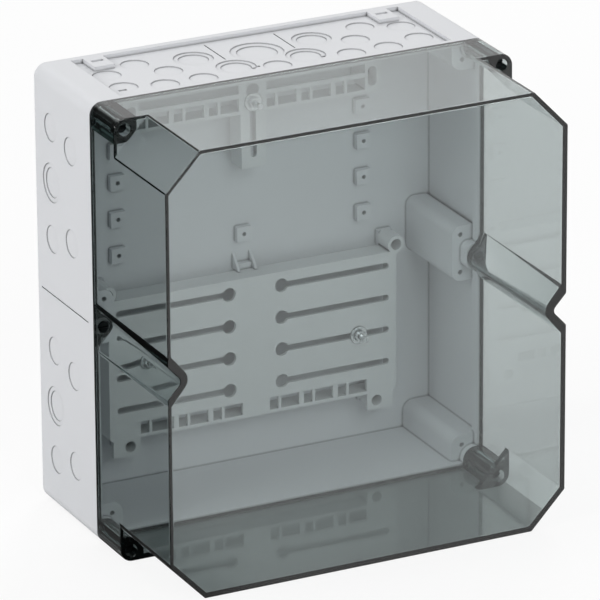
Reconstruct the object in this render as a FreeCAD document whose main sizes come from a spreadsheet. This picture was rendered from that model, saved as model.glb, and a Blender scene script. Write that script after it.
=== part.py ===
"""Wall-mounted electric meter box: moulded base, clear cover, slotted meter plate and hanger.

X is to the right, -Y out of the wall towards the reader, +Z up. The origin is the centre of the
wall fixing pattern, in the plane of the wall. Lengths are millimetres.
"""
import FreeCAD, Part
import math
import os
from types import SimpleNamespace

import Sketcher

# name, value, what it measures
SIZES = [
    ("case_width", 300, "outside width"),
    ("case_height", 320, "outside height"),
    ("case_corner", 9, "radius of the outside corners"),
    ("base_depth", 90, "wall to joint plane"),
    ("cover_depth", 118, "joint plane to front"),
    ("base_wall", 3, "wall of the base"),
    ("inner_corner", 6, "radius of the base's inside corners"),
    ("back_hollow", 5.5, "depth of the hollow behind the back wall"),
    ("back_wall", 4, "back wall"),
    ("rim_width", 6.5, "width of the base's rim at the joint"),
    ("cover_rim_width", 5, "width of the cover's rim at the joint"),
    ("base_rim_depth", 8, "depth of the base's rim"),
    ("cover_rim_depth", 1.6, "depth of the cover's rim"),
    ("panel_recess", 3, "depth of the recessed top and bottom panels"),
    ("panel_end", 25, "side of the case to the end of the recessed panel"),
    ("panel_front", 4, "joint plane to the recessed panel"),
    ("panel_back", 5.5, "wall to the recessed panel"),
    ("tab_side", 41.5, "side of the case to the middle of the raised tab"),
    ("tab_width", 15, "raised tab, along X"),
    ("tab_length", 19.5, "raised tab, along Y"),
    ("tab_slot_width", 9, "slot in the tab, along X"),
    ("tab_slot_length", 3.5, "slot in the tab, along Y"),
    ("tab_slot_place", 6, "rear end of the tab to its slot"),
    ("score_width", 0.9, "width of the score grooves"),
    ("score_depth", 0.9, "depth of the score grooves"),
    ("entry_step", 0.8, "depth of one step of a knock-out"),
    ("entry_small", 20, "small knock-out"),
    ("entry_middle_inner", 21.5, "inner step of a middle knock-out"),
    ("entry_middle_outer", 28, "outer step of a middle knock-out"),
    ("entry_large_inner", 28.7, "inner step of the large knock-out"),
    ("entry_large_outer", 37.6, "outer step of the large knock-out"),
    ("score_across", 26.4, "middle of the case to the score line on the panel"),
    ("score_start", 46.5, "joint plane to the front end of that line"),
    ("score_length", 33.5, "length of that line"),
    ("pry_width", 6, "pry pocket, along X"),
    ("pry_length", 2.6, "pry pocket, along Y"),
    ("pry_depth", 1.6, "pry pocket, depth"),
    ("pry_place", 22, "joint plane to the pry pockets"),
    ("pry_first", -117.5, "leftmost pry pocket"),
    ("pry_step", 50, "half the step between the pry pockets"),
    ("fixing_side", 38, "side of the case to a wall fixing hole"),
    ("fixing_top", 28, "top of the case to a wall fixing hole"),
    ("fixing_hole", 6.5, "wall fixing hole"),
    ("fixing_boss", 18, "boss around a wall fixing hole"),
    ("pad_side", 11, "square pad on the back wall"),
    ("pad_height", 4.8, "height of the pads"),
    ("pad_hole", 3.1, "pilot hole in a pad"),
    ("pad_hole_depth", 7, "depth of the pilot hole"),
    ("pad_edge", 56.7, "side of the case to the pad columns"),
    ("pad_first", 68, "top of the case to the first pads"),
    ("pad_second", 91, "top of the case to the second pads"),
    ("pad_third", 117.7, "top of the case to the third pads"),
    ("pad_fourth", 144.3, "top of the case to the fourth pads"),
    ("pad_below", 1.2, "plate's top edge down to the lower centre pad"),
    ("gusset_thick", 2, "gusset beside the lower centre pad"),
    ("gusset_gap", 0.6, "plate's top edge to the gussets"),
    ("gusset_reach", 11, "gusset along the back wall"),
    ("gusset_height", 10, "height of the gusset"),
    ("pillar_hole_side", 16, "side of the case to the corner pillar's pilot hole"),
    ("pillar_hole_top", 18, "top of the case to the corner pillar's pilot hole"),
    ("pillar_hole", 3.5, "pilot hole of a pillar"),
    ("pillar_hole_depth", 18, "depth of a pillar's pilot hole"),
    ("pillar_radius", 8, "radius of a corner pillar"),
    ("pillar_setback", 5, "joint plane to the end face of a corner pillar"),
    ("middle_hole_side", 15, "side of the case to the middle pillar's pilot holes"),
    ("middle_hole_up", 14, "height of the middle pillar's pilot holes"),
    ("middle_pillar_radius", 6.5, "edge radius of the middle pillar"),
    ("middle_setback", 10, "joint plane to the end face of a middle pillar"),
    ("cover_wall", 3, "wall of the cover"),
    ("cut_across", 25.6, "cut corner of the cover, along X"),
    ("cut_up", 27, "cut corner of the cover, along Z"),
    ("shelf_height", 38.4, "joint plane to the corner shelf"),
    ("screw_side", 8.2, "side of the case to the corner screws"),
    ("screw_top", 8, "top of the case to the corner screws"),
    ("screw_block", 9.5, "radius of the screw block around the corner screws"),
    ("screw_seat", 30, "cover thickness under a corner screw's head"),
    ("middle_seat", 2.2, "cover thickness under a middle screw's head"),
    ("groove_height", 35, "side groove of the cover, along Z"),
    ("groove_depth", 14, "depth of the side groove"),
    ("groove_tip", 6, "radius of the groove's bottom"),
    ("groove_floor", 4.6, "plate that ends the groove at the joint plane"),
    ("middle_screw_side", 5.7, "side of the case to the middle screws"),
    ("head_diameter", 8, "lid screw head"),
    ("head_height", 2.4, "lid screw head"),
    ("head_clearance", 0.4, "radial clearance around the head"),
    ("lid_thread", 5, "lid screw shank"),
    ("lid_reach", 14, "lid screw below the joint plane"),
    ("lid_hole_end", 4, "free end of a lid screw's hole"),
    ("lid_fit", 0.06, "radial clearance of a lid screw in the base"),
    ("lid_free", 0.3, "radial clearance of a lid screw in the cover"),
    ("drive_width", 1.2, "slot in a screw head"),
    ("drive_depth", 1.1, "slot in a screw head"),
    ("middle_boss", 9.5, "half width of the boss around the middle screws"),
    ("middle_boss_edge", 5.5, "edge radius of that boss"),
    ("seal_width", 2.4, "cover seal"),
    ("seal_height", 2.5, "cover seal"),
    ("seal_edge", 3.4, "outside of the case to the middle of the seal"),
    ("seal_round", 7.3, "radius of the seal around a screw"),
    ("seal_gap", 0.1, "clearance at each side of the seal"),
    ("plate_edge", 40, "side of the case to the meter plate"),
    ("plate_height", 104.5, "meter plate"),
    ("plate_foot", 45.5, "bottom of the case to the plate's lower edge"),
    ("plate_stand", 16.7, "height of plate and hanger above the pads"),
    ("plate_skin", 2.5, "front skin of plate and hanger"),
    ("plate_side", 2, "side walls of plate and hanger"),
    ("plate_corner", 3, "corner radius of the plate"),
    ("slot_width", 4.6, "keyhole slots"),
    ("keyhole", 10, "round end of a keyhole slot"),
    ("keyhole_across", 20.3, "middle to the round ends"),
    ("slot_margin", 8.2, "plate's side to the centre of a slot's far end"),
    ("slot_first", 10.2, "plate's top edge to the first row of slots"),
    ("slot_step", 23.9, "step between the rows"),
    ("window_start", 10.6, "middle to the first clip window"),
    ("window_step", 26.6, "step between the clip windows"),
    ("window_small", 6.6, "narrow half of a clip window"),
    ("window_bar", 2.2, "bar inside a clip window"),
    ("window_wide", 14, "wide half of a clip window"),
    ("window_height", 9, "clip windows of the plate"),
    ("window_low", 2.5, "plate's bottom edge to the windows"),
    ("ear_radius", 6.5, "sleeve of a plate ear"),
    ("ear_bore", 8, "bore of a sleeve"),
    ("ear_floor", 3, "floor of a sleeve"),
    ("upper_ear_rise", 4.6, "plate's top edge up to the upper ears, in line with its sides"),
    ("lower_ear_inset", 15.5, "plate's side to the lower ears"),
    ("lower_ear_drop", 5.7, "plate's lower edge down to the lower ears"),
    ("ear_tab_width", 21.5, "flat tab of a lower ear"),
    ("hanger_edge", 51.5, "side of the case to the hanger bar"),
    ("hanger_top", 28, "top of the case to the bar's top edge"),
    ("hanger_height", 24, "bar"),
    ("strip_width", 19, "hanger strip"),
    ("strip_length", 61.5, "hanger strip, from the bar's top edge down"),
    ("strip_slot_low", 10, "strip's lower end to the centre of its slot's lower end"),
    ("strip_keyhole", 7.5, "bar's top edge to the round end of the strip slot"),
    ("bar_window_low", 2.6, "bar's bottom edge to its clip windows"),
    ("bar_window_height", 9, "clip windows of the bar"),
    ("long_window_height", 6.2, "long upper windows of the bar"),
    ("long_window_gap", 3.5, "clip windows to the long window"),
    ("well_inset", 6.4, "bar's end to its screw well"),
    ("well_width", 6.8, "screw well, along X"),
    ("well_height", 14, "screw well, along Z"),
    ("tap_head", 6, "head of a plate or hanger screw"),
    ("tap_head_height", 2.4, "head of a plate or hanger screw"),
    ("tap_shank", 3, "shank of a plate or hanger screw"),
    ("tap_reach", 6, "shank below the sleeve's floor"),
    ("tap_free", 0.25, "radial clearance in the sleeve's floor"),
    ("bolt_diameter", 4, "meter bolt"),
    ("bolt_head", 9, "head of a meter bolt"),
    ("bolt_head_height", 2.6, "head of a meter bolt"),
    ("bolt_out", 12, "meter bolt in front of the plate"),
    ("bolt_inset", 21.8, "centre of a slot's far end to the side bolts"),
    ("bolt_row", 2, "rows below the first one to the side bolts"),
    ("bolt_drop", 8.5, "round end of the strip slot down to the top bolt"),
    ("washer_diameter", 12.6, "washer"),
    ("washer_thick", 1, "washer"),
    ("nut_flats", 7, "nut across flats"),
    ("nut_height", 3.2, "nut"),
    ("nut_fit", 0.05, "radial clearance of the nut and washer on the bolt"),
]

# knock-outs of the top panel alone: name, middle of the case, joint plane, size
TOP_ENTRIES = [
    ("entry_a", 112, 54, "small"),
    ("entry_b", 112, 27, "small"),
    ("entry_c", 86, 65.5, "small"),
    ("entry_d", 71, 43, "small"),
    ("entry_e", 84.5, 19.5, "small"),
    ("entry_f", 56, 19, "small"),
]

# knock-outs of both the top and the bottom panel
PANEL_ENTRIES = [
    ("entry_g", 0, 19.5, "small"),
    ("entry_j", 45, 58.5, "middle"),
    ("entry_k", 26.4, 30, "middle"),
    ("entry_n", 0, 51.7, "large"),
]

# knock-outs of the sides: name, middle of the case upwards, joint plane, size
SIDE_ENTRIES = [
    ("side_a", 122, 65, "small"),
    ("side_b", 82, 65, "middle"),
    ("side_c", 41, 65, "small"),
    ("side_d", 115, 33, "small"),
    ("side_e", 48.5, 33, "small"),
]

doc = FreeCAD.newDocument("meter_box")


class Size:
    """A length and the sheet expression it comes from: a sketch starts where it is bound."""

    def __init__(self, value, text):
        self.value = float(value)
        self.text = text

    def __add__(self, other):
        other = as_size(other)
        return Size(self.value + other.value, f"({self.text} + {other.text})")

    def __sub__(self, other):
        other = as_size(other)
        return Size(self.value - other.value, f"({self.text} - {other.text})")

    def __mul__(self, other):
        other = as_size(other)
        return Size(self.value * other.value, f"({self.text} * {other.text})")

    def __truediv__(self, other):
        other = as_size(other)
        return Size(self.value / other.value, f"({self.text} / {other.text})")

    def __neg__(self):
        return self * -1


def as_size(value):
    return value if isinstance(value, Size) else Size(value, f"({value})")


def make_sheet():
    """Write every driving dimension to the sheet and return them by name."""
    rows = list(SIZES)
    for name, across, along, _ in TOP_ENTRIES + PANEL_ENTRIES + SIDE_ENTRIES:
        rows.append((name + "_across", across, "knock-out, from the middle of the case"))
        rows.append((name + "_along", along, "knock-out, from the joint plane"))
    sheet = doc.addObject("Spreadsheet::Sheet", "Sizes")
    for row, (name, value, note) in enumerate(rows, start=1):
        sheet.set(f"A{row}", note)
        sheet.set(f"B{row}", str(value))
        sheet.setAlias(f"B{row}", name)
    doc.recompute()
    return SimpleNamespace(**{name: Size(value, "Sizes." + name) for name, value, _ in rows})


S = make_sheet()

# planes and lengths that several pieces share
HALF_X = S.case_width / 2
HALF_Z = S.case_height / 2
BACK_INSIDE = S.back_hollow + S.back_wall
PAD_FACE = BACK_INSIDE + S.pad_height
PLATE_FACE = PAD_FACE + S.plate_stand
PANEL_INSIDE = HALF_Z - S.panel_recess - S.base_wall
SCREW_X = HALF_X - S.screw_side
SCREW_Z = HALF_Z - S.screw_top
MIDDLE_SCREW_X = HALF_X - S.middle_screw_side
FIXING_X = HALF_X - S.fixing_side
FIXING_Z = HALF_Z - S.fixing_top
PILLAR_X = HALF_X - S.pillar_hole_side
PILLAR_Z = HALF_Z - S.pillar_hole_top
MIDDLE_HOLE_X = HALF_X - S.middle_hole_side
PLATE_X = HALF_X - S.plate_edge
PLATE_LOW = S.plate_foot - HALF_Z
PLATE_TOP = PLATE_LOW + S.plate_height
SLOT_END_X = PLATE_X - S.slot_margin
LOWER_EAR_X = PLATE_X - S.lower_ear_inset
LOWER_EAR_Z = PLATE_LOW - S.lower_ear_drop
BAR_X = HALF_X - S.hanger_edge
BAR_TOP = HALF_Z - S.hanger_top
WELL_X = BAR_X - S.well_inset
STRIP_LOW = BAR_TOP - S.strip_length
STRIP_KEYHOLE_Z = BAR_TOP - S.strip_keyhole
SIGNS = ((-1, 1), (1, 1), (-1, -1), (1, -1))


class Drawing:
    """A sketch on an origin plane of a body, moved along the plane's normal.

    "XZ" looks along +Y: sketch x is X, sketch y is Z and the normal is -Y.
    "YZ" has x along Y, y along Z and the normal +X; "XY" has the normal +Z.
    """

    def __init__(self, body, plane, name, offset=0):
        self.body = body
        self.sketch = body.newObject("Sketcher::SketchObject", name)
        role = plane + "_Plane"
        support = [item for item in body.Origin.OriginFeatures if item.Role == role][0]
        self.sketch.AttachmentSupport = [(support, "")]
        self.sketch.MapMode = "FlatFace"
        offset = as_size(offset)
        self.sketch.AttachmentOffset = FreeCAD.Placement(
            FreeCAD.Vector(0, 0, offset.value), FreeCAD.Rotation())
        self.sketch.setExpression("AttachmentOffset.Base.z", offset.text)
        self.rules = []
        self.bound = []

    def rule(self, kind, *where):
        self.rules.append(Sketcher.Constraint(kind, *where))

    def hold(self, kind, size, *where):
        """Add a dimension that is bound to its expression."""
        size = as_size(size)
        self.bound.append((len(self.rules), size.text))
        self.rules.append(Sketcher.Constraint(kind, *where, size.value))

    def place(self, geometry, point, x, y):
        """Fix one point of a curve by its two coordinates."""
        for kind, axis, size in (("DistanceX", -2, as_size(x)), ("DistanceY", -1, as_size(y))):
            if size.value == 0:
                self.rule("PointOnObject", geometry, point, axis)
            else:
                self.hold(kind, size, geometry, point)

    def line(self, start, end):
        return self.sketch.addGeometry(
            Part.LineSegment(FreeCAD.Vector(*start, 0), FreeCAD.Vector(*end, 0)), False)

    def arc(self, centre, radius, first, last):
        circle = Part.Circle(FreeCAD.Vector(*centre, 0), FreeCAD.Vector(0, 0, 1), radius)
        return self.sketch.addGeometry(
            Part.ArcOfCircle(circle, math.radians(first), math.radians(last)), False)

    def circle(self, x, y, diameter):
        x, y, diameter = as_size(x), as_size(y), as_size(diameter)
        centre = FreeCAD.Vector(x.value, y.value, 0)
        index = self.sketch.addGeometry(
            Part.Circle(centre, FreeCAD.Vector(0, 0, 1), diameter.value / 2), False)
        self.place(index, 3, x, y)
        self.hold("Diameter", diameter, index)

    def polygon(self, points):
        """Closed outline through points given as pairs of sizes."""
        points = [(as_size(x), as_size(y)) for x, y in points]
        values = [(x.value, y.value) for x, y in points]
        lines = [self.line(start, end) for start, end in zip(values, values[1:] + values[:1])]
        for this, after in zip(lines, lines[1:] + lines[:1]):
            self.rule("Coincident", this, 2, after, 1)
        for index, (x, y) in zip(lines, points):
            self.place(index, 1, x, y)

    def box(self, left, right, low, high):
        self.polygon([(left, low), (right, low), (right, high), (left, high)])

    def round_box(self, left, right, low, high, radius):
        """Rectangle with four rounded corners."""
        left, right, low, high = as_size(left), as_size(right), as_size(low), as_size(high)
        radius = as_size(radius)
        x0, x1, y0, y1, r = left.value, right.value, low.value, high.value, radius.value
        bottom = self.line((x0 + r, y0), (x1 - r, y0))
        side = self.line((x1, y0 + r), (x1, y1 - r))
        top = self.line((x1 - r, y1), (x0 + r, y1))
        near = self.line((x0, y1 - r), (x0, y0 + r))
        arcs = [self.arc((x1 - r, y0 + r), r, 270, 360), self.arc((x1 - r, y1 - r), r, 0, 90),
                self.arc((x0 + r, y1 - r), r, 90, 180), self.arc((x0 + r, y0 + r), r, 180, 270)]
        lines = [bottom, side, top, near]
        for index in range(4):
            self.rule("Tangent", lines[index], 2, arcs[index], 1)
            self.rule("Tangent", arcs[index], 2, lines[(index + 1) % 4], 1)
        for index in range(1, 4):
            self.rule("Equal", arcs[0], arcs[index])
        for flat, upright in ((bottom, side), (top, near)):
            self.rule("Horizontal", flat)
            self.rule("Vertical", upright)
        self.hold("Radius", radius, arcs[0])
        self.hold("DistanceX", left, near, 1)
        self.hold("DistanceX", right, side, 1)
        self.hold("DistanceY", low, bottom, 1)
        self.hold("DistanceY", high, top, 1)

    def corner_box(self, sx, sz, middle_x, middle_z, radius):
        """Box that fills a corner of the case, with its free edge rounded about a middle point."""
        mx, mz, r = middle_x.value * sx, middle_z.value * sz, radius.value
        near_x, far_x = (middle_x - radius) * sx, (HALF_X - S.base_wall) * sx
        near_z, far_z = (middle_z - radius) * sz, (HALF_Z - S.base_wall) * sz
        shelf = self.line((mx, near_z.value), (far_x.value, near_z.value))
        side = self.line((far_x.value, near_z.value), (far_x.value, far_z.value))
        top = self.line((far_x.value, far_z.value), (near_x.value, far_z.value))
        near = self.line((near_x.value, far_z.value), (near_x.value, mz))
        first = {(1, 1): 180, (1, -1): 90, (-1, -1): 0, (-1, 1): 270}[(sx, sz)]
        edge = self.arc((mx, mz), r, first, first + 90)
        starts_at_near = sx * sz > 0
        at_near, at_shelf = (1, 2) if starts_at_near else (2, 1)
        for this, after in ((shelf, side), (side, top), (top, near)):
            self.rule("Coincident", this, 2, after, 1)
        self.rule("Tangent", near, 2, edge, at_near)
        self.rule("Tangent", edge, at_shelf, shelf, 1)
        self.place(edge, 3, middle_x * sx, middle_z * sz)
        self.hold("Radius", radius, edge)
        self.rule("Vertical", side)
        self.rule("Vertical", near)
        self.rule("Horizontal", top)
        self.rule("Horizontal", shelf)
        self.place(side, 2, far_x, far_z)

    def slot(self, start, end, diameter):
        """Slot with round ends between two centres, along x or along y."""
        (sx, sy), (ex, ey) = [(as_size(x), as_size(y)) for x, y in (start, end)]
        radius = as_size(diameter) / 2
        turn = math.degrees(math.atan2(ey.value - sy.value, ex.value - sx.value))
        r = radius.value
        side = (r * math.sin(math.radians(turn)), -r * math.cos(math.radians(turn)))
        near = self.line((sx.value + side[0], sy.value + side[1]),
                         (ex.value + side[0], ey.value + side[1]))
        far = self.line((ex.value - side[0], ey.value - side[1]),
                        (sx.value - side[0], sy.value - side[1]))
        cap = self.arc((ex.value, ey.value), r, turn - 90, turn + 90)
        foot = self.arc((sx.value, sy.value), r, turn + 90, turn + 270)
        for first, second in ((near, cap), (cap, far), (far, foot), (foot, near)):
            self.rule("Tangent", first, 2, second, 1)
        self.rule("Equal", cap, foot)
        self.hold("Radius", radius, cap)
        self.place(foot, 3, sx, sy)
        self.place(cap, 3, ex, ey)

    def pad(self, length, back=False):
        """Grow the outline along the normal, or against it with back."""
        return self.feature("PartDesign::Pad", length, back)

    def pocket(self, depth, along=False):
        """Cut against the normal, or along it."""
        return self.feature("PartDesign::Pocket", depth, along)

    def feature(self, kind, length, turned):
        """Give the sketch its rules at once, then make the feature from it."""
        self.sketch.addConstraint(self.rules)
        for index, expression in self.bound:
            self.sketch.setExpression(f"Constraints[{index}]", expression)
        length = as_size(length)
        feature = self.body.newObject(kind, self.sketch.Name + "_cut" * kind.endswith("Pocket"))
        feature.Profile = self.sketch
        feature.Type = 0
        feature.Length = length.value
        feature.setExpression("Length", length.text)
        feature.Reversed = turned
        feature.Refine = kind.endswith("Pad")
        return feature


def new_body(name):
    body = doc.addObject("PartDesign::Body", name)
    body.Label = name
    return body


def cut(name, solid, tool):
    """A piece made by taking one body away from another."""
    piece = doc.addObject("Part::Cut", name)
    piece.Label = name
    piece.Base = solid
    piece.Tool = tool
    return piece


def move(body, x, y, z):
    """Bind a body's place to the sheet."""
    x, y, z = as_size(x), as_size(y), as_size(z)
    body.Placement = FreeCAD.Placement(FreeCAD.Vector(x.value, y.value, z.value),
                                       FreeCAD.Rotation())
    for axis, size in (("x", x), ("y", y), ("z", z)):
        body.setExpression(f"Placement.Base.{axis}", size.text)


def case_outline(drawing, inset=0, radius=None):
    """Outline of the box, moved inwards by inset."""
    drawing.round_box(-HALF_X + inset, HALF_X - inset, -HALF_Z + inset, HALF_Z - inset,
                      radius or S.case_corner - inset)


def screw_blocks(drawing):
    """Blocks in the four corners, each with one edge rounded about its lid screw."""
    for sx, sz in SIGNS:
        drawing.corner_box(sx, sz, SCREW_X, SCREW_Z, S.screw_block)


def lid_screw_places():
    """The six lid screws by name, with the joint plane's X and Z."""
    places = {}
    for (sx, sz), name in zip(SIGNS, ("top_left", "top_right", "bottom_left", "bottom_right")):
        places["lid_screw_" + name] = (SCREW_X * sx, SCREW_Z * sz)
    places["lid_screw_middle_left"] = (-MIDDLE_SCREW_X, as_size(0))
    places["lid_screw_middle_right"] = (MIDDLE_SCREW_X, as_size(0))
    return places


def entry_places(entries):
    """Knock-outs on both sides of the case's middle: across it, along it, size."""
    for name, _, _, kind in entries:
        across, along = getattr(S, name + "_across"), getattr(S, name + "_along")
        for sign in ((1,) if across.value == 0 else (-1, 1)):
            yield across * sign, along - S.base_depth, kind


def cut_entries(body, plane, name, face, places, along):
    """Thin the wall at each knock-out: a disc, with a smaller and deeper one in a large disc."""
    outer = Drawing(body, plane, name + "_entries", face)
    inner = Drawing(body, plane, name + "_inner_entries", face)
    for x, y, kind in places:
        if kind == "small":
            outer.circle(x, y, S.entry_small)
        else:
            outer.circle(x, y, getattr(S, f"entry_{kind}_outer"))
            inner.circle(x, y, getattr(S, f"entry_{kind}_inner"))
    outer.pocket(S.entry_step, along)
    inner.pocket(S.entry_step * 2, along)


def base_panels(body):
    """Recessed top and bottom panels with tabs, knock-outs, score lines and pry pockets."""
    for side, name in ((1, "top"), (-1, "bottom")):
        outer = HALF_Z * side
        floor = (HALF_Z - S.panel_recess) * side
        up = side > 0
        recess = Drawing(body, "XY", name + "_recess", outer)
        recess.box(-HALF_X + S.panel_end, HALF_X - S.panel_end,
                   -S.base_depth + S.panel_front, -S.panel_back)
        recess.pocket(S.panel_recess, along=not up)

        tabs = Drawing(body, "XY", name + "_tabs", floor)
        slots = Drawing(body, "XY", name + "_tab_slots", outer)
        for sx in (-1, 1):
            middle = (HALF_X - S.tab_side) * sx
            tabs.box(middle - S.tab_width / 2, middle + S.tab_width / 2,
                     -S.panel_back - S.tab_length, -S.panel_back)
            rear = -S.panel_back - S.tab_slot_place
            slots.box(middle - S.tab_slot_width / 2, middle + S.tab_slot_width / 2,
                      rear - S.tab_slot_length, rear)
        tabs.pad(S.panel_recess, back=not up)
        slots.pocket(S.panel_recess, along=not up)

        entries = TOP_ENTRIES + PANEL_ENTRIES if up else PANEL_ENTRIES
        cut_entries(body, "XY", name, floor, entry_places(entries), not up)
        marks = Drawing(body, "XY", name + "_score_lines", floor)
        for sx in (-1, 1):
            middle = S.score_across * sx
            marks.box(middle - S.score_width / 2, middle + S.score_width / 2,
                      S.score_start - S.base_depth, S.score_start + S.score_length - S.base_depth)
        marks.pocket(S.score_depth, along=not up)

        pry = Drawing(body, "XY", name + "_pry_pockets", floor)
        for step in (0, 2, 3):
            left = S.pry_first + S.pry_step * step
            pry.box(left, left + S.pry_width, S.pry_place - S.base_depth,
                    S.pry_place + S.pry_length - S.base_depth)
        pry.pocket(S.pry_depth, along=not up)


def base_sides(body):
    """Knock-outs and the score line on the two side walls."""
    for side, name in ((-1, "left"), (1, "right")):
        places = [(along, up, kind) for up, along, kind in entry_places(SIDE_ENTRIES)]
        cut_entries(body, "YZ", name, HALF_X * side, places, side < 0)
        line = Drawing(body, "YZ", name + "_score_line", HALF_X * side)
        line.box(-S.base_depth + S.base_rim_depth, -S.panel_back,
                 -S.score_width / 2, S.score_width / 2)
        line.pocket(S.score_depth, along=side < 0)


def pad_places():
    """Square pads on the back wall: the free ones and those under plate and hanger."""
    free = [((HALF_X - S.pad_edge) * sx, HALF_Z - drop) for sx in (-1, 1)
            for drop in (S.pad_first, S.pad_second, S.pad_third, S.pad_fourth)]
    free += [(as_size(0), HALF_Z - S.pad_fourth), (as_size(0), PLATE_TOP - S.pad_below)]
    return free + ear_places() + well_places()


def ear_places():
    return ([(PLATE_X * sx, PLATE_TOP + S.upper_ear_rise) for sx in (-1, 1)]
            + [(LOWER_EAR_X * sx, LOWER_EAR_Z) for sx in (-1, 1)])


def well_places():
    return [(WELL_X * sx, BAR_TOP - S.hanger_height / 2) for sx in (-1, 1)]


def make_base():
    body = new_body("base_moulding")
    outline = Drawing(body, "XZ", "base_outline")
    case_outline(outline)
    outline.pad(S.base_depth)

    inside = Drawing(body, "XZ", "base_inside", S.base_depth)
    inside.round_box(-HALF_X + S.base_wall, HALF_X - S.base_wall, -PANEL_INSIDE, PANEL_INSIDE,
                     S.inner_corner)
    inside.pocket(S.base_depth - BACK_INSIDE)

    hollow = Drawing(body, "XZ", "back_hollow")
    hollow.round_box(-HALF_X + S.base_wall, HALF_X - S.base_wall, -PANEL_INSIDE, PANEL_INSIDE,
                     S.inner_corner)
    for sx, sz in SIGNS:
        hollow.circle(FIXING_X * sx, FIXING_Z * sz, S.fixing_boss)
    hollow.pocket(S.back_hollow, along=True)

    rim = Drawing(body, "XZ", "base_rim", S.base_depth)
    case_outline(rim)
    case_outline(rim, S.rim_width, S.case_corner - S.base_wall)
    rim.pad(S.base_rim_depth, back=True)

    corners = Drawing(body, "XZ", "corner_pillars", BACK_INSIDE)
    for sx, sz in SIGNS:
        corners.corner_box(sx, sz, PILLAR_X, PILLAR_Z, S.pillar_radius)
    corners.pad(S.base_depth - S.pillar_setback - BACK_INSIDE)

    blocks = Drawing(body, "XZ", "screw_blocks", BACK_INSIDE)
    screw_blocks(blocks)
    blocks.pad(S.base_depth - BACK_INSIDE)

    middles = Drawing(body, "XZ", "middle_pillars", BACK_INSIDE)
    reach = S.middle_hole_up + S.middle_pillar_radius
    edge = MIDDLE_HOLE_X - S.middle_pillar_radius
    far = HALF_X - S.base_wall / 2
    for left, right in ((edge, far), (-far, -edge)):
        middles.round_box(left, right, -reach, reach, S.middle_pillar_radius)
    middles.pad(S.base_depth - S.middle_setback - BACK_INSIDE)

    bosses = Drawing(body, "XZ", "middle_bosses", BACK_INSIDE)
    near = MIDDLE_SCREW_X - S.middle_boss
    for left, right in ((near, far), (-far, -near)):
        bosses.round_box(left, right, -S.middle_boss, S.middle_boss, S.middle_boss_edge)
    bosses.pad(S.base_depth - BACK_INSIDE)

    pads = Drawing(body, "XZ", "wall_pads", BACK_INSIDE)
    holes = Drawing(body, "XZ", "pad_holes", PAD_FACE)
    half = S.pad_side / 2
    for x, z in pad_places():
        pads.box(x - half, x + half, z - half, z + half)
        holes.circle(x, z, S.pad_hole)
    pads.pad(S.pad_height)
    holes.pocket(S.pad_hole_depth)

    foot = PLATE_TOP + S.gusset_gap
    for name, left in (("left", -half - S.gusset_thick), ("right", half)):
        gusset = Drawing(body, "YZ", name + "_gusset", left)
        gusset.polygon([(-BACK_INSIDE, foot), (-BACK_INSIDE, foot + S.gusset_reach),
                        (-BACK_INSIDE - S.gusset_height, foot)])
        gusset.pad(S.gusset_thick)

    lid_holes = Drawing(body, "XZ", "lid_screw_holes", S.base_depth)
    for x, z in lid_screw_places().values():
        lid_holes.circle(x, z, S.lid_thread + S.lid_fit * 2)
    lid_holes.pocket(S.lid_reach + S.lid_hole_end)

    pillar_holes = Drawing(body, "XZ", "corner_pillar_holes", S.base_depth - S.pillar_setback)
    for sx, sz in SIGNS:
        pillar_holes.circle(PILLAR_X * sx, PILLAR_Z * sz, S.pillar_hole)
    pillar_holes.pocket(S.pillar_hole_depth)
    middle_holes = Drawing(body, "XZ", "middle_pillar_holes", S.base_depth - S.middle_setback)
    for sx, sz in SIGNS:
        middle_holes.circle(MIDDLE_HOLE_X * sx, S.middle_hole_up * sz, S.pillar_hole)
    middle_holes.pocket(S.pillar_hole_depth)

    fixings = Drawing(body, "XZ", "wall_fixings")
    for sx, sz in SIGNS:
        fixings.circle(FIXING_X * sx, FIXING_Z * sz, S.fixing_hole)
    fixings.pocket(BACK_INSIDE, along=True)

    base_panels(body)
    base_sides(body)
    return cut("base_shell", body, make_seal("seal_groove", S.seal_gap))


def make_seal(name, gap=0):
    """The seal's run along the rim, bending inwards around each lid screw; gap makes it wider."""
    body = new_body(name)
    floor = S.base_depth - S.seal_height
    outer = S.seal_edge - S.seal_width / 2 - gap
    inner = S.seal_edge + S.seal_width / 2 + gap
    band = Drawing(body, "XZ", name + "_band", floor)
    case_outline(band, outer)
    case_outline(band, inner)
    band.pad(S.seal_height)
    discs = Drawing(body, "XZ", name + "_discs", S.base_depth)
    rings = Drawing(body, "XZ", name + "_rings", floor)
    for x, z in lid_screw_places().values():
        discs.circle(x, z, (S.seal_round + S.seal_width / 2 + gap) * 2)
        rings.circle(x, z, (S.seal_round + S.seal_width / 2 + gap) * 2)
        rings.circle(x, z, (S.seal_round - S.seal_width / 2 - gap) * 2)
    discs.pocket(S.seal_height)
    rings.pad(S.seal_height)
    # what the rings leave outside the band goes
    trim = Drawing(body, "XZ", name + "_trim", S.base_depth)
    case_outline(trim, outer)
    case_outline(trim, -S.seal_round * 2, S.case_corner)
    trim.pocket(S.seal_height)
    return body


def cut_outline(drawing, inset=0):
    """Outline of the cover's front part with its four cut corners, moved inwards by inset."""
    across, up = S.cut_across.value, S.cut_up.value
    slope = math.hypot(across, up)
    # a leg of the cut gets shorter by this share of the inset
    share_x = (across + up - slope) / up
    share_z = (across + up - slope) / across
    inset = as_size(inset)
    x, z = HALF_X - inset, HALF_Z - inset
    cut_x = S.cut_across - inset * share_x
    cut_z = S.cut_up - inset * share_z
    drawing.polygon([(x - cut_x, -z), (x, -z + cut_z), (x, z - cut_z), (x - cut_x, z),
                     (-x + cut_x, z), (-x, z - cut_z), (-x, -z + cut_z), (-x + cut_x, -z)])


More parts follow.
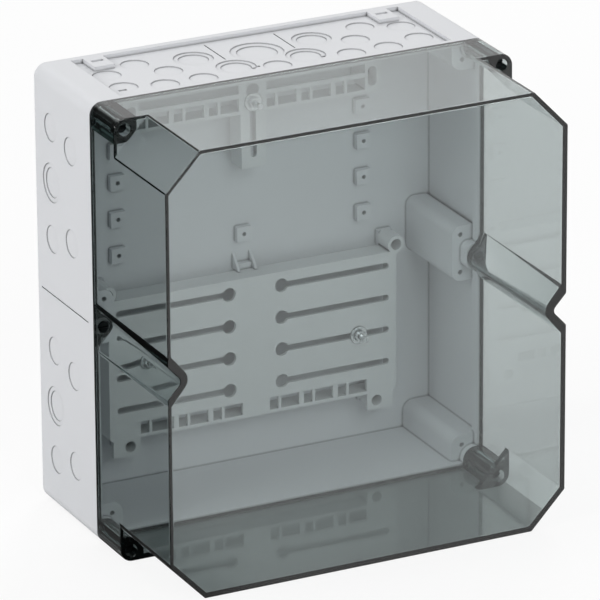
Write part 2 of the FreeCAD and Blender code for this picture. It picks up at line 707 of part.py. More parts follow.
def side_groove(drawing, side, grow=0):
    """Rounded V in one side, grow larger all round, open to the side of the box."""
    mouth_x = HALF_X * side
    radius = S.groove_tip + grow
    centre_x = (HALF_X - S.groove_depth + S.groove_tip) * side
    # the flank leaves the mouth's corner and touches the tip circle at this angle
    run, half_mouth = abs(mouth_x.value - centre_x.value), S.groove_height.value / 2
    turn = (math.atan2(half_mouth, run)
            + math.acos(S.groove_tip.value / math.hypot(run, half_mouth)))
    mouth_z = S.groove_height / 2 + as_size(grow) * round(1 / math.sin(turn), 5)
    rise = mouth_z.value
    touch = (centre_x.value + radius.value * math.cos(turn) * side,
             radius.value * math.sin(turn))
    angle = math.degrees(turn)
    upper = drawing.line((mouth_x.value, rise), touch)
    if side > 0:
        tip = drawing.arc((centre_x.value, 0), radius.value, angle, 360 - angle)
        ends = (1, 2)
    else:
        tip = drawing.arc((centre_x.value, 0), radius.value, angle - 180, 180 - angle)
        ends = (2, 1)
    lower = drawing.line((touch[0], -touch[1]), (mouth_x.value, -rise))
    mouth = drawing.line((mouth_x.value, -rise), (mouth_x.value, rise))
    drawing.rule("Tangent", upper, 2, tip, ends[0])
    drawing.rule("Tangent", tip, ends[1], lower, 1)
    drawing.rule("Coincident", lower, 2, mouth, 1)
    drawing.rule("Coincident", mouth, 2, upper, 1)
    drawing.place(upper, 1, mouth_x, mouth_z)
    drawing.place(lower, 2, mouth_x, -mouth_z)
    drawing.place(tip, 3, centre_x, 0)
    drawing.hold("Radius", radius, tip)


def make_cover():
    """Clear cover: lower part with the case's outline, front part with cut corners."""
    body = new_body("cover")
    lower = Drawing(body, "XZ", "cover_lower", S.base_depth)
    case_outline(lower)
    lower.pad(S.shelf_height)
    front = Drawing(body, "XZ", "cover_front", S.base_depth)
    cut_outline(front)
    front.pad(S.cover_depth)

    inside_front = Drawing(body, "XZ", "cover_inside_front", S.base_depth)
    cut_outline(inside_front, S.cover_wall)
    inside_front.pocket(S.cover_depth - S.cover_wall, along=True)
    inside_lower = Drawing(body, "XZ", "cover_inside_lower", S.base_depth)
    case_outline(inside_lower, S.cover_wall)
    inside_lower.pocket(S.shelf_height - S.cover_wall, along=True)

    blocks = Drawing(body, "XZ", "cover_screw_blocks", S.base_depth)
    screw_blocks(blocks)
    blocks.pad(S.shelf_height - S.cover_wall / 2)
    rim = Drawing(body, "XZ", "cover_rim", S.base_depth)
    case_outline(rim)
    case_outline(rim, S.cover_rim_width, S.case_corner - S.base_wall)
    rim.pad(S.cover_rim_depth)

    walls = Drawing(body, "XZ", "groove_walls", S.base_depth)
    grooves = Drawing(body, "XZ", "grooves", S.base_depth + S.cover_depth)
    for side in (-1, 1):
        side_groove(walls, side, S.cover_wall)
        side_groove(grooves, side)
    walls.pad(S.cover_depth - S.cover_wall / 2)
    grooves.pocket(S.cover_depth - S.groove_floor)

    wells = Drawing(body, "XZ", "corner_wells", S.base_depth + S.shelf_height)
    holes = Drawing(body, "XZ", "lid_screw_clearance", S.base_depth)
    middle_wells = Drawing(body, "XZ", "middle_wells", S.base_depth + S.groove_floor)
    well = S.head_diameter + S.head_clearance * 2
    for name, (x, z) in lid_screw_places().items():
        if "middle" in name:
            middle_wells.circle(x, z, well)
        else:
            wells.circle(x, z, well)
        holes.circle(x, z, S.lid_thread + S.lid_free * 2)
    wells.pocket(S.shelf_height - S.screw_seat)
    middle_wells.pocket(S.groove_floor - S.middle_seat)
    holes.pocket(S.screw_seat, along=True)
    return body


def window_boxes(drawing, low, high):
    """Three clip windows on each side of the middle, each split by a bar."""
    for side in (-1, 1):
        for step in range(3):
            start = S.window_start + S.window_step * step
            end = start + S.window_small + S.window_bar + S.window_wide
            left = start if side > 0 else -end
            bar = left + S.window_small
            drawing.box(left, bar, low, high)
            drawing.box(bar + S.window_bar, bar + S.window_bar + S.window_wide, low, high)


def make_plate():
    """Meter plate: an open-backed tray with keyhole slots, clip windows and four screw sleeves."""
    body = new_body("meter_plate")
    left, right, low, top = -PLATE_X, PLATE_X, PLATE_LOW, PLATE_TOP
    side = S.plate_side
    block = Drawing(body, "XZ", "plate_block", PAD_FACE)
    block.round_box(left, right, low, top, S.plate_corner)
    block.pad(S.plate_stand)
    hollow = Drawing(body, "XZ", "plate_hollow", PAD_FACE)
    hollow.round_box(left + side, right - side, low + side, top - side, S.plate_corner - side / 2)
    hollow.pocket(S.plate_stand - S.plate_skin, along=True)
    tabs = Drawing(body, "XZ", "ear_tabs", PLATE_FACE)
    reach = S.ear_tab_width - S.ear_radius - side
    for sx in (-1, 1):
        inner = (LOWER_EAR_X - S.ear_radius - side / 2) * sx
        outer = (LOWER_EAR_X + reach) * sx
        xs = (inner, outer) if sx > 0 else (outer, inner)
        tabs.box(*xs, LOWER_EAR_Z - S.ear_radius, low + side / 2)
    tabs.pad(S.plate_skin, back=True)

    sleeves = Drawing(body, "XZ", "plate_sleeves", PAD_FACE)
    bores = Drawing(body, "XZ", "sleeve_bores", PLATE_FACE)
    holes = Drawing(body, "XZ", "sleeve_holes", PAD_FACE)
    for x, z in ear_places():
        sleeves.circle(x, z, S.ear_radius * 2)
        bores.circle(x, z, S.ear_bore)
        holes.circle(x, z, S.tap_shank + S.tap_free * 2)
    sleeves.pad(S.plate_stand)
    bores.pocket(S.plate_stand - S.ear_floor)
    holes.pocket(S.ear_floor, along=True)

    slots = Drawing(body, "XZ", "keyhole_slots", PLATE_FACE)
    rounds = Drawing(body, "XZ", "keyholes", PLATE_FACE)
    for row in range(4):
        z = slot_row(row)
        for sx in (-1, 1):
            slots.slot((S.keyhole_across * sx, z), (SLOT_END_X * sx, z), S.slot_width)
            rounds.circle(S.keyhole_across * sx, z, S.keyhole)
    slots.pocket(S.plate_skin)
    rounds.pocket(S.plate_skin)
    windows = Drawing(body, "XZ", "plate_windows", PLATE_FACE)
    sill = low + S.window_low
    window_boxes(windows, sill, sill + S.window_height)
    windows.pocket(S.plate_skin)
    return body


def slot_row(row):
    """Height of one row of keyhole slots."""
    return PLATE_TOP - S.slot_first - S.slot_step * row


def make_hanger():
    """Upper hanger: a bar with clip windows and a strip with an upright keyhole slot."""
    body = new_body("meter_hanger")
    half_bar, half_strip = BAR_X, S.strip_width / 2
    top = BAR_TOP
    low = top - S.hanger_height
    side = S.plate_side
    bar = Drawing(body, "XZ", "hanger_bar", PAD_FACE)
    bar.box(-half_bar, half_bar, low, top)
    bar.pad(S.plate_stand)
    strip = Drawing(body, "XZ", "hanger_strip", PAD_FACE)
    strip.box(-half_strip, half_strip, STRIP_LOW, top)
    strip.pad(S.plate_stand)
    for name, half, floor in (("bar", half_bar, low), ("strip", half_strip, STRIP_LOW)):
        hollow = Drawing(body, "XZ", name + "_hollow", PAD_FACE)
        hollow.box(-half + side, half - side, floor + side, top - side)
        hollow.pocket(S.plate_stand - S.plate_skin, along=True)

    sleeves = Drawing(body, "XZ", "well_sleeves", PAD_FACE)
    wells = Drawing(body, "XZ", "screw_wells", PLATE_FACE)
    holes = Drawing(body, "XZ", "well_holes", PAD_FACE)
    for x, z in well_places():
        half_x, half_z = S.well_width / 2, S.well_height / 2
        sleeves.box(x - half_x - side, x + half_x + side, z - half_z - side, z + half_z + side)
        wells.round_box(x - half_x, x + half_x, z - half_z, z + half_z, S.plate_corner)
        holes.circle(x, z, S.tap_shank + S.tap_free * 2)
    sleeves.pad(S.plate_stand)
    wells.pocket(S.plate_stand - S.ear_floor)
    holes.pocket(S.ear_floor, along=True)

    slot = Drawing(body, "XZ", "strip_slot", PLATE_FACE)
    slot.slot((0, STRIP_LOW + S.strip_slot_low), (0, STRIP_KEYHOLE_Z), S.slot_width)
    slot.pocket(S.plate_skin)
    rounds = Drawing(body, "XZ", "strip_round", PLATE_FACE)
    rounds.circle(0, STRIP_KEYHOLE_Z, S.keyhole)
    rounds.pocket(S.plate_skin)
    windows = Drawing(body, "XZ", "bar_windows", PLATE_FACE)
    sill = low + S.bar_window_low
    head = sill + S.bar_window_height
    window_boxes(windows, sill, head)
    start = S.window_start
    end = start + S.window_step * 2 + S.window_small + S.window_bar + S.window_wide
    sill_long = head + S.long_window_gap
    for left, right in ((start, end), (-end, -start)):
        windows.box(left, right, sill_long, sill_long + S.long_window_height)
    windows.pocket(S.plate_skin)
    return body


def make_screw(name, place, head, head_height, shank, length):
    """Slotted screw: the underside of its head is its own origin, the shank runs to +Y."""
    body = new_body(name)
    cap = Drawing(body, "XZ", name + "_head")
    cap.circle(0, 0, head)
    cap.pad(head_height)
    stem = Drawing(body, "XZ", name + "_shank")
    stem.circle(0, 0, shank)
    stem.pad(length, back=True)
    drive = Drawing(body, "XZ", name + "_drive", head_height)
    drive.box(-head, head, -S.drive_width / 2, S.drive_width / 2)
    drive.pocket(S.drive_depth)
    move(body, *place)
    return body


def make_bolt_set(name, x, z):
    """Meter bolt with its head behind the plate, a washer in front of the plate and a nut."""
    bolt = new_body("meter_bolt_" + name)
    head = Drawing(bolt, "XZ", name + "_bolt_head", -S.plate_skin)
    head.circle(0, 0, S.bolt_head)
    head.pad(S.bolt_head_height, back=True)
    shank = Drawing(bolt, "XZ", name + "_bolt_shank", -S.plate_skin)
    shank.circle(0, 0, S.bolt_diameter)
    shank.pad(S.plate_skin + S.bolt_out)
    move(bolt, x, -PLATE_FACE, z)

    washer = new_body("meter_washer_" + name)
    bore = S.bolt_diameter + S.nut_fit * 2
    disc = Drawing(washer, "XZ", name + "_washer_disc")
    disc.circle(0, 0, S.washer_diameter)
    disc.circle(0, 0, bore)
    disc.pad(S.washer_thick)
    move(washer, x, -PLATE_FACE, z)

    nut = new_body("meter_nut_" + name)
    hexagon = Drawing(nut, "XZ", name + "_nut_hexagon")
    side = S.nut_flats * round(1 / math.sqrt(3), 6)
    flat = S.nut_flats / 2
    hexagon.polygon([(side, 0), (side / 2, flat), (-side / 2, flat),
                     (-side, 0), (-side / 2, -flat), (side / 2, -flat)])
    hexagon.circle(0, 0, bore)
    hexagon.pad(S.nut_height)
    move(nut, x, -PLATE_FACE - S.washer_thick, z)
    return [bolt, washer, nut]


def make_pieces():
    """Every piece of the box, one object each."""
    pieces = [make_base(), make_cover(), make_seal("cover_gasket"), make_plate(), make_hanger()]
    for name, (x, z) in lid_screw_places().items():
        seat = S.middle_seat if "middle" in name else S.screw_seat
        pieces.append(make_screw(name, (x, -S.base_depth - seat, z), S.head_diameter,
                                 S.head_height, S.lid_thread, seat + S.lid_reach))
    taps = list(zip(("upper_left", "upper_right", "lower_left", "lower_right"), ear_places()))
    wells = list(zip(("left", "right"), well_places()))
    for group, places in (("plate_screw_", taps), ("hanger_screw_", wells)):
        for name, (x, z) in places:
            pieces.append(make_screw(group + name, (x, -PAD_FACE - S.ear_floor, z), S.tap_head,
                                     S.tap_head_height, S.tap_shank, S.ear_floor + S.tap_reach))
    pieces += make_bolt_set("top", as_size(0), STRIP_KEYHOLE_Z - S.bolt_drop)
    bolt_x = SLOT_END_X - S.bolt_inset
    pieces += make_bolt_set("left", -bolt_x, slot_row(S.bolt_row))
    pieces += make_bolt_set("right", bolt_x, slot_row(S.bolt_row))
    return pieces


def check_and_write(pieces):
    """Stop at anything failed, then write one STEP file for each piece."""
    doc.recompute()
    for item in doc.Objects:
        if "Invalid" in item.State or "Error" in item.State:
            raise RuntimeError(f"{item.Name} failed: {item.State}")
    for piece in pieces:
        shape = piece.Shape
        if shape.isNull() or not shape.isValid() or not shape.Solids:
            raise RuntimeError(f"{piece.Label} has no valid solid")
    os.makedirs("parts", exist_ok=True)
    for piece in pieces:
        piece.Shape.exportStep(f"parts/{piece.Label}.step")
        print(piece.Label, len(piece.Shape.Solids), round(piece.Shape.Volume / 1000, 2), "cm3")


check_and_write(make_pieces())
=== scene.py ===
"""Looks of the wall-mounted electric meter box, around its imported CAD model.

Metres, in the CAD's frame: +X right, -Y out of the wall, +Z up.
"""

import math

import bmesh
import bpy
import numpy as np
from mathutils import Matrix, Vector


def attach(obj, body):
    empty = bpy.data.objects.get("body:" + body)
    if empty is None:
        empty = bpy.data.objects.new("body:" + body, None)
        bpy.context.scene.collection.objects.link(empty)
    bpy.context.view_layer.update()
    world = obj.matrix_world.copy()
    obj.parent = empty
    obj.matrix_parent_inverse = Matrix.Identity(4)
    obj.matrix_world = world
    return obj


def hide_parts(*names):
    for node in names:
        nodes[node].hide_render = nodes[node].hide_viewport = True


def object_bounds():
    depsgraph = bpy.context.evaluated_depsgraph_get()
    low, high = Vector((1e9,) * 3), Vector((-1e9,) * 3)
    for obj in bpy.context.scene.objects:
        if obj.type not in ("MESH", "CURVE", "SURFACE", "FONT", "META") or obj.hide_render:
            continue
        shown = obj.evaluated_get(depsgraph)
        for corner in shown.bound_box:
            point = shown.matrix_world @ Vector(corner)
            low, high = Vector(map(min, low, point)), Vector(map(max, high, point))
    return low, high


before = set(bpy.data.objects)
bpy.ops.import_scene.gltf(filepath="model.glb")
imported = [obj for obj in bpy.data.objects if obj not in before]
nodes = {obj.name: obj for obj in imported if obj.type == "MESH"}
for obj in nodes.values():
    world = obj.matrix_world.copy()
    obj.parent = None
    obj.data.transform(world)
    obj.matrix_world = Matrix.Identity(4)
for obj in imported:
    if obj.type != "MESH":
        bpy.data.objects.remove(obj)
cad_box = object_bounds()

MM = 0.001

# the photograph's camera, fitted to the box's own corners; the roll is in degrees
CAMERA_PLACE = Vector((-1.8356, -3.8227, 1.6093))
CAMERA_BACK = Vector((-0.41240, -0.83585, 0.36232))
CAMERA_ROLL = -0.3744
LENS_MM = 390
SENSOR_MM = 36

# brightness of the soft light from all round, where the white that the camera sees is 1
AMBIENT = 0.4

# the cover's side grooves, as in the CAD: mouth, tip circle, wall, and the floor's and front's Y
GROOVE_MOUTH_X, GROOVE_CENTRE_X = 150 * MM, 142 * MM
GROOVE_HALF, GROOVE_TIP = 17.5 * MM, 6 * MM
COVER_WALL = 3 * MM
GROOVE_FLOOR_Y, GROOVE_FRONT_Y = -94.6 * MM, -208 * MM
# what the photograph shows of them: each outline's share of the CAD's
GROOVE_FLOOR_SHARE, GROOVE_FRONT_SHARE = 0.88, 0.66
INNER_SHARE_X, INNER_SHARE_Z = 0.888, 0.943
# a point this close to a groove's face lies on it
ON_FACE = 0.02 * MM

# the cover's mesh: points this close are merged, and so are faces within this angle in radians
MERGE_REACH, LEVEL_ANGLE = 0.001 * MM, 0.01
# radius of the cover's edges, and the angle in degrees from which an edge gets it
EDGE_RADIUS, EDGE_ANGLE = 0.6 * MM, 30

# painted shade in slits: how far a face looks for its neighbours, and how open it is where the
# painted shade is darkest and where it is clear
SLIT_SHADE_REACH = 2.5 * MM
SLIT_SHADE_CLOSED, SLIT_SHADE_OPEN = 0.35, 0.85

# the studio's dark flag in gloss: the X where it is full, the X where it ends, and its brightness,
# for directions into the surroundings, and as painted shade in gloss for places on the floor
SKY_FLAG = (-0.35, -0.1, 0.05)
FLOOR_GLOSS_SHADE = (-0.2, -0.05, 0.02)

FLOOR_HALF = 8.0
FLOOR_GAP = 0.2 * MM
# share of plain white in the floor that the camera sees, and its brightness in gloss under the
# box, which is painted shadow
FLOOR_WHITE, FLOOR_GLOSS_SHADOW = 0.85, 0.05


def linear(code):
    """Linear colour of an sRGB hex value."""
    values = [int(code[i:i + 2], 16) / 255 for i in (1, 3, 5)]
    return [v / 12.92 if v <= 0.04045 else ((v + 0.055) / 1.055) ** 2.4 for v in values] + [1]


def add(tree, kind, settings=None, **inputs):
    """Add a node with its settings; an input is a value or another node's output socket."""
    new = tree.nodes.new("ShaderNode" + kind)
    for key, value in (settings or {}).items():
        setattr(new, key, value)
    for key, value in inputs.items():
        key = int(key[1:]) if key[0] == "_" and key[1:].isdigit() else key.replace("_", " ")
        socket = new.inputs[key]
        if isinstance(value, bpy.types.NodeSocket):
            tree.links.new(value, socket)
        else:
            socket.default_value = value
    return new


def multiply(tree, first, second):
    """Output socket of the product of two values or sockets."""
    return add(tree, "Math", {"operation": "MULTIPLY"}, _0=first, _1=second).outputs[0]


def blend(tree, factor, first, second):
    """Output socket of a colour that runs from one sRGB hex value to another."""
    mix = add(tree, "Mix", {"data_type": "RGBA"}, _0=factor)
    mix.inputs["A"].default_value = linear(first)
    mix.inputs["B"].default_value = linear(second)
    return mix.outputs["Result"]


def stretch(tree, value, low, high):
    """Output socket of a value of 0 to 1 stretched to run from low to high."""
    ramp = add(tree, "MapRange", Value=value)
    ramp.inputs["To Min"].default_value = low
    ramp.inputs["To Max"].default_value = high
    return ramp.outputs["Result"]


def new_material(name):
    """An empty node material and its tree."""
    material = bpy.data.materials.new(name)
    material.use_nodes = True
    tree = material.node_tree
    tree.nodes.clear()
    return material, tree


def finish_material(tree, shader, volume=None):
    """Lead a shader, and the plastic's own tint if it has one, to the material's output."""
    out = add(tree, "OutputMaterial")
    tree.links.new(shader, out.inputs["Surface"])
    if volume is not None:
        tree.links.new(volume, out.inputs["Volume"])


def dress(material, *names):
    """Give CAD nodes a material."""
    for name in names:
        piece = nodes[name]
        piece.data.materials.clear()
        piece.data.materials.append(material)


def painted_slit_shade(tree, colour, darkest):
    """Colour with painted shade, which falls to a share of itself in slits, grooves and under
    edges, where less light gets in."""
    hollow = add(tree, "AmbientOcclusion", {"samples": 8}, Distance=SLIT_SHADE_REACH)
    slit = add(tree, "MapRange", Value=hollow.outputs["AO"])
    slit.inputs["From Min"].default_value = SLIT_SHADE_CLOSED
    slit.inputs["From Max"].default_value = SLIT_SHADE_OPEN
    slit.inputs["To Min"].default_value = darkest
    shade = add(tree, "VectorMath", {"operation": "SCALE"}, Scale=slit.outputs["Result"],
                _0=colour)
    return shade.outputs["Vector"]


def moulded_grey(name, colour, dark, roughness):
    """Moulded polystyrene or ABS: satin, with the faint grain of an eroded mould."""
    material, tree = new_material(name)
    place = add(tree, "TexCoord").outputs["Object"]
    grain = add(tree, "TexNoise", Vector=place, Scale=1 / (1.6 * MM), Detail=3.0, Roughness=0.6)
    cloud = add(tree, "TexNoise", Vector=place, Scale=1 / (90 * MM), Detail=2.0)
    # painted shade: the plastic's colour darkens in slits, grooves and under edges
    shaded = painted_slit_shade(tree, blend(tree, cloud.outputs["Fac"], colour, dark), 0.25)
    rough = stretch(tree, grain.outputs["Fac"], roughness - 0.05, roughness + 0.05)
    soft = add(tree, "Bevel", {"samples": 4}, Radius=0.5 * MM)
    bump = add(tree, "Bump", Strength=0.12, Distance=0.05 * MM, Height=grain.outputs["Fac"],
               Normal=soft.outputs["Normal"])
    shader = add(tree, "BsdfPrincipled", Base_Color=shaded, Roughness=rough,
                 Normal=bump.outputs["Normal"], IOR=1.54)
    finish_material(tree, shader.outputs["BSDF"])
    return material


def clear_smoke():
    """Injection-moulded polycarbonate, smoke tinted: clear, with near black edges, because the
    tint is in the plastic and an edge is seen along the wall. Lamps shine straight through."""
    material, tree = new_material("smoke_polycarbonate")
    glass = add(tree, "BsdfPrincipled", Base_Color=(1, 1, 1, 1), Roughness=0.0, IOR=1.58,
                Transmission_Weight=1.0)
    path = add(tree, "LightPath")
    lamp = add(tree, "Math", {"operation": "MAXIMUM"}, _0=path.outputs["Is Shadow Ray"],
               _1=path.outputs["Is Diffuse Ray"])
    through = add(tree, "BsdfTransparent", Color=(1, 1, 1, 1))
    mix = add(tree, "MixShader", _0=lamp.outputs[0], _1=glass.outputs[0], _2=through.outputs[0])
    # a 3 mm wall lets 74% of red and 78% of green and blue through
    tint = add(tree, "VolumeAbsorption", Color=(0.0, 0.16, 0.15, 1), Density=100.0)
    finish_material(tree, mix.outputs[0], tint.outputs[0])
    return material


def narrow_grooves(points):
    """Move the points of the cover's side grooves, so that they narrow towards the front and
    their walls grow as thick as the dark bands in the photograph.

    A groove is a wedge with a round tip, mirrored about Z = 0 and X = 0. A point's distance from
    its outline is (point - centre) . normal - radius beside the flank, and |point - centre| -
    radius round the tip. Points at distance 0 are the groove's own, and move towards the middle
    of its mouth by a share that runs straight from the floor to the front. Points at the wall's
    distance are the wall's inner face. They move the same way by two fixed shares, one along X,
    round the tip only, and one along Z."""
    x, z = np.abs(points[:, 0]), np.abs(points[:, 2])
    run = GROOVE_MOUTH_X - GROOVE_CENTRE_X
    turn = math.atan2(GROOVE_HALF, run) + math.acos(GROOVE_TIP / math.hypot(run, GROOVE_HALF))
    normal = np.array([math.cos(turn), math.sin(turn)])
    from_centre = np.stack([x - GROOVE_CENTRE_X, z], axis=1)
    length = np.linalg.norm(from_centre, axis=1)
    round_tip = np.arctan2(z, x - GROOVE_CENTRE_X) > turn
    distance = np.where(round_tip, length - GROOVE_TIP, from_centre @ normal - GROOVE_TIP)
    forward = (points[:, 1] - GROOVE_FLOOR_Y) / (GROOVE_FRONT_Y - GROOVE_FLOOR_Y)
    share = GROOVE_FLOOR_SHARE + (GROOVE_FRONT_SHARE - GROOVE_FLOOR_SHARE) * forward
    outer = (np.abs(distance) < ON_FACE) & (x < GROOVE_MOUTH_X + ON_FACE)
    inner = ((np.abs(distance - COVER_WALL) < ON_FACE)
             & (x < GROOVE_MOUTH_X - COVER_WALL + ON_FACE))
    share_x = np.where(outer, share, np.where(inner & round_tip, INNER_SHARE_X, 1))
    share_z = np.where(outer, share, np.where(inner, INNER_SHARE_Z, 1))
    points[:, 0] = np.sign(points[:, 0]) * (GROOVE_MOUTH_X - (GROOVE_MOUTH_X - x) * share_x)
    points[:, 2] *= share_z


def moulded_cover():
    """The cover's own mesh, merged, with narrowed side grooves and small moulding radii."""
    mesh = bpy.data.meshes.new("cover_moulding")
    work = bmesh.new()
    work.from_mesh(nodes["cover"].data)
    bmesh.ops.remove_doubles(work, verts=work.verts, dist=MERGE_REACH)
    bmesh.ops.dissolve_limit(work, angle_limit=LEVEL_ANGLE, verts=work.verts, edges=work.edges)
    work.to_mesh(mesh)
    work.free()

    points = np.empty(len(mesh.vertices) * 3)
    mesh.vertices.foreach_get("co", points)
    narrow_grooves(points.reshape(-1, 3))
    mesh.vertices.foreach_set("co", points)
    mesh.shade_smooth()

    cover = bpy.data.objects.new("cover_moulding", mesh)
    bpy.context.collection.objects.link(cover)
    radii = cover.modifiers.new("radii", "BEVEL")
    radii.width = EDGE_RADIUS
    radii.segments = 2
    radii.limit_method = "ANGLE"
    radii.angle_limit = math.radians(EDGE_ANGLE)
    radii.use_clamp_overlap = False
    flats = cover.modifiers.new("flats", "WEIGHTED_NORMAL")
    flats.mode = "FACE_AREA"
    flats.weight = 100
    flats.thresh = 0.01
    cover.data.materials.append(clear_smoke())
    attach(cover, "cover")
    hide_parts("cover")


def metal(name, colour, dull, roughness):
    """Zinc-plated steel: a metal gloss that the plating's spangle and the cold-formed surface
    break up into small lighter and duller patches."""
    material, tree = new_material(name)
    place = add(tree, "TexCoord").outputs["Object"]
    grain = add(tree, "TexNoise", Vector=place, Scale=1 / (0.7 * MM), Detail=2.0)
    patch = add(tree, "TexNoise", Vector=place, Scale=1 / (3 * MM), Detail=1.0)
    form = add(tree, "Bump", Strength=0.1, Distance=0.04 * MM, Height=grain.outputs["Fac"])
    rough = stretch(tree, grain.outputs["Fac"], roughness - 0.06, roughness + 0.06)
    # painted shade: the metal's colour darkens in slits, in contact gaps and under edges
    shaded = painted_slit_shade(tree, blend(tree, patch.outputs["Fac"], colour, dull), 0.1)
    shader = add(tree, "BsdfPrincipled", Base_Color=shaded, Metallic=1.0, Roughness=rough,
                 Normal=form.outputs["Normal"])
    finish_material(tree, shader.outputs["BSDF"])
    return material


def rubber():
    """Foamed EPDM cord: dull and near black, with the skin's small open cells."""
    material, tree = new_material("foam_rubber")
    place = add(tree, "TexCoord").outputs["Object"]
    cells = add(tree, "TexVoronoi", Vector=place, Scale=1 / (0.9 * MM)).outputs["Distance"]
    dimple = add(tree, "Bump", Strength=0.5, Distance=0.1 * MM, Height=cells)
    # painted shade: each cell is darker towards its middle, where its dimple is deepest
    shader = add(tree, "BsdfPrincipled", Base_Color=blend(tree, cells, "#212324", "#383A3B"),
                 Roughness=0.85, Normal=dimple.outputs["Normal"])
    finish_material(tree, shader.outputs["BSDF"])
    return material


def set_materials():
    """Dress every CAD node but the cover, which moulded_cover replaces."""
    dress(moulded_grey("base_polystyrene", "#DCDDE0", "#D6D8DB", 0.42), "base_shell")
    dress(moulded_grey("plate_polystyrene", "#DDDFE0", "#D7D9DA", 0.38), "meter_plate",
          "meter_hanger")
    dress(rubber(), "cover_gasket")
    dark = metal("black_zinc", "#2C2E2F", "#222324", 0.4)
    bright = metal("bright_zinc", "#E4E6E7", "#BEC1C2", 0.16)
    for name in nodes:
        if name.startswith("lid_screw"):
            dress(dark, name)
        elif name.startswith(("meter_bolt", "meter_washer", "meter_nut", "plate_screw",
                              "hanger_screw")):
            dress(bright, name)


def set_camera():
    """The photograph's camera, turned about its own line of sight by the fitted roll."""
    data = bpy.data.cameras.new("camera")
    data.lens = LENS_MM
    data.sensor_width = SENSOR_MM
    data.clip_end = 100
    camera = bpy.data.objects.new("camera", data)
    bpy.context.collection.objects.link(camera)
    forward = -CAMERA_BACK.normalized()
    right = forward.cross(Vector((0, 0, 1))).normalized()
    up = right.cross(forward)
    roll = math.radians(CAMERA_ROLL)
    right, up = (right * math.cos(roll) + up * math.sin(roll),
                 up * math.cos(roll) - right * math.sin(roll))
    turn = Matrix((right, up, -forward)).transposed()
    camera.matrix_world = Matrix.Translation(CAMERA_PLACE) @ turn.to_4x4()
    bpy.context.scene.camera = camera


def area_light(name, place, target, side, power):
    """A square softbox that faces its target."""
    data = bpy.data.lights.new(name, "AREA")
    data.shape = "RECTANGLE"
    data.size, data.size_y = side, side
    data.energy = power
    lamp = bpy.data.objects.new(name, data)
    bpy.context.collection.objects.link(lamp)
    lamp.location = place
    lamp.rotation_euler = (Vector(target) - Vector(place)).to_track_quat("-Z", "Y").to_euler()
    return lamp


def set_lights():
    """Softboxes in front, on the left and behind."""
    middle = (0, -0.1, 0)
    area_light("front_softbox", (0.2, -2.8, 1.8), middle, 1.8, 34)
    area_light("left_softbox", (-2.6, -0.2, 1.6), middle, 1.6, 46)
    # the cover's top would mirror this one as a white patch in views from the left
    back = area_light("back_softbox", (1.4, 1.7, 1.7), middle, 1.0, 25)
    back.visible_glossy = False


def studio_side(tree, coordinate, flag):
    """Brightness of the studio in gloss by an X coordinate: dark on the left, 1 on the right. On
    the floor this is painted shade.
    """
    dark_at, light_at, lowest = flag
    along = add(tree, "SeparateXYZ", Vector=coordinate)
    side = add(tree, "MapRange", {"interpolation_type": "SMOOTHSTEP"}, Value=along.outputs["X"])
    side.inputs["From Min"].default_value = dark_at
    side.inputs["From Max"].default_value = light_at
    side.inputs["To Min"].default_value = lowest
    return side.outputs["Result"]


def mirror_rays(tree, path):
    """1 for a ray that one pane mirrors, at its front or its back face, and 0 for all that pass
    through two panes or more: a ray that has only been in one pane has crossed two faces."""
    one_pane = add(tree, "Math", {"operation": "LESS_THAN"},
                   _0=path.outputs["Transmission Depth"], _1=2.5)
    return multiply(tree, one_pane.outputs[0], path.outputs["Is Glossy Ray"])


def set_world():
    """Soft grey light all round. The camera looks at plain white, also through the cover; gloss
    mirrors a studio that is white on the right and has a dark flag on the left."""
    world = bpy.data.worlds.new("studio")
    bpy.context.scene.world = world
    world.use_nodes = True
    tree = world.node_tree
    tree.nodes.clear()
    path = add(tree, "LightPath")
    seen = add(tree, "Math", {"operation": "MAXIMUM"}, _0=path.outputs["Is Camera Ray"],
               _1=path.outputs["Is Glossy Ray"])
    plain = add(tree, "MapRange", Value=seen.outputs[0])
    plain.inputs["To Min"].default_value = AMBIENT
    side = studio_side(tree, add(tree, "TexCoord").outputs["Generated"], SKY_FLAG)
    strength = add(tree, "Mix", Factor=mirror_rays(tree, path), A=plain.outputs["Result"], B=side)
    back = add(tree, "Background", Color=(1, 1, 1, 1), Strength=strength.outputs["Result"])
    out = add(tree, "OutputWorld")
    tree.links.new(back.outputs["Background"], out.inputs["Surface"])


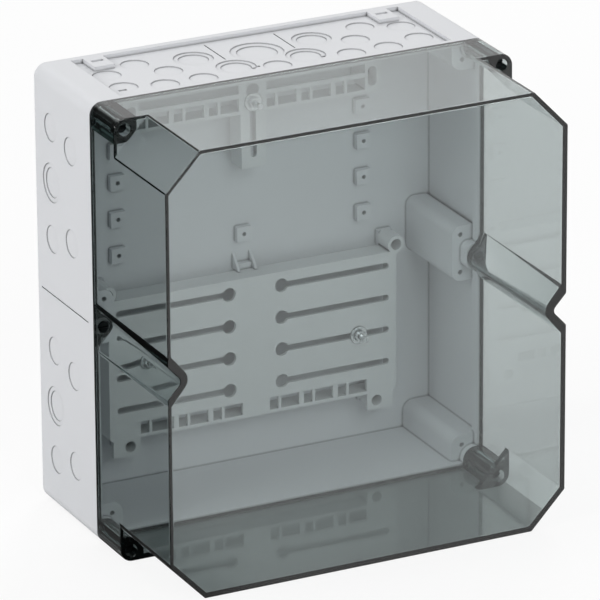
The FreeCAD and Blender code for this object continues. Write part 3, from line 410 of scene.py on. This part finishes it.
def painted_shadow_footprint(tree, place):
    """1 on the box's footprint, where the floor gets a painted shadow in gloss, and 0 beside it.
    """
    low, high = Vector(cad_box[0]), Vector(cad_box[1])
    offset = add(tree, "VectorMath", {"operation": "SUBTRACT"}, _0=place,
                 _1=((low.x + high.x) / 2, (low.y + high.y) / 2, 0))
    reach = add(tree, "VectorMath", {"operation": "ABSOLUTE"}, _0=offset.outputs[0])
    reach = add(tree, "SeparateXYZ", Vector=reach.outputs[0])
    across = add(tree, "Math", {"operation": "LESS_THAN"}, _0=reach.outputs["X"],
                 _1=(high.x - low.x) / 2)
    deep = add(tree, "Math", {"operation": "LESS_THAN"}, _0=reach.outputs["Y"],
               _1=(high.y - low.y) / 2)
    return multiply(tree, across.outputs[0], deep.outputs[0])


def floor_paint():
    """Nearly white to the camera with the box's soft shadow, plain matt paint to what is seen
    through the cover, and painted shade on the left in gloss. Hardly any light gets under the box,
    so its footprint gets a painted shadow in gloss, which keeps the cover's lower edge dark."""
    material, tree = new_material("white_floor")
    path = add(tree, "LightPath")
    place = add(tree, "TexCoord").outputs["Object"]
    under = painted_shadow_footprint(tree, place)
    through = multiply(tree, under, path.outputs["Is Glossy Ray"])
    # painted shadow: in gloss the floor's colour is darker on the box's footprint
    diffuse = add(tree, "BsdfDiffuse", Color=blend(tree, through, "#F2F2F2", "#B4B4B4"))
    glow = add(tree, "Emission", Color=(1, 1, 1, 1), Strength=1.0)
    share = multiply(tree, path.outputs["Is Camera Ray"], FLOOR_WHITE)
    mix = add(tree, "MixShader", _0=share, _1=diffuse.outputs[0], _2=glow.outputs[0])
    # painted shadow: in gloss the floor's glow falls to a small share on the box's footprint
    gloss_shadow = stretch(tree, under, 1, FLOOR_GLOSS_SHADOW)
    # painted shade: in gloss the floor's glow is darker on the left
    side = multiply(tree, studio_side(tree, place, FLOOR_GLOSS_SHADE), gloss_shadow)
    mirrored = add(tree, "Emission", Color=(1, 1, 1, 1), Strength=side)
    mix = add(tree, "MixShader", _0=mirror_rays(tree, path), _1=mix.outputs[0],
              _2=mirrored.outputs[0])
    finish_material(tree, mix.outputs[0])
    return material


def make_floor():
    """A pale floor just under the box."""
    mesh = bpy.data.meshes.new("floor")
    half, level = FLOOR_HALF, cad_box[0][2] - FLOOR_GAP
    mesh.from_pydata([(-half, -half, level), (half, -half, level), (half, half, level),
                      (-half, half, level)], [], [(0, 1, 2, 3)])
    floor = bpy.data.objects.new("floor", mesh)
    bpy.context.collection.objects.link(floor)
    mesh.materials.append(floor_paint())


set_materials()
moulded_cover()
set_camera()
set_lights()
set_world()
make_floor()

bpy.context.scene.view_settings.view_transform = "Standard"
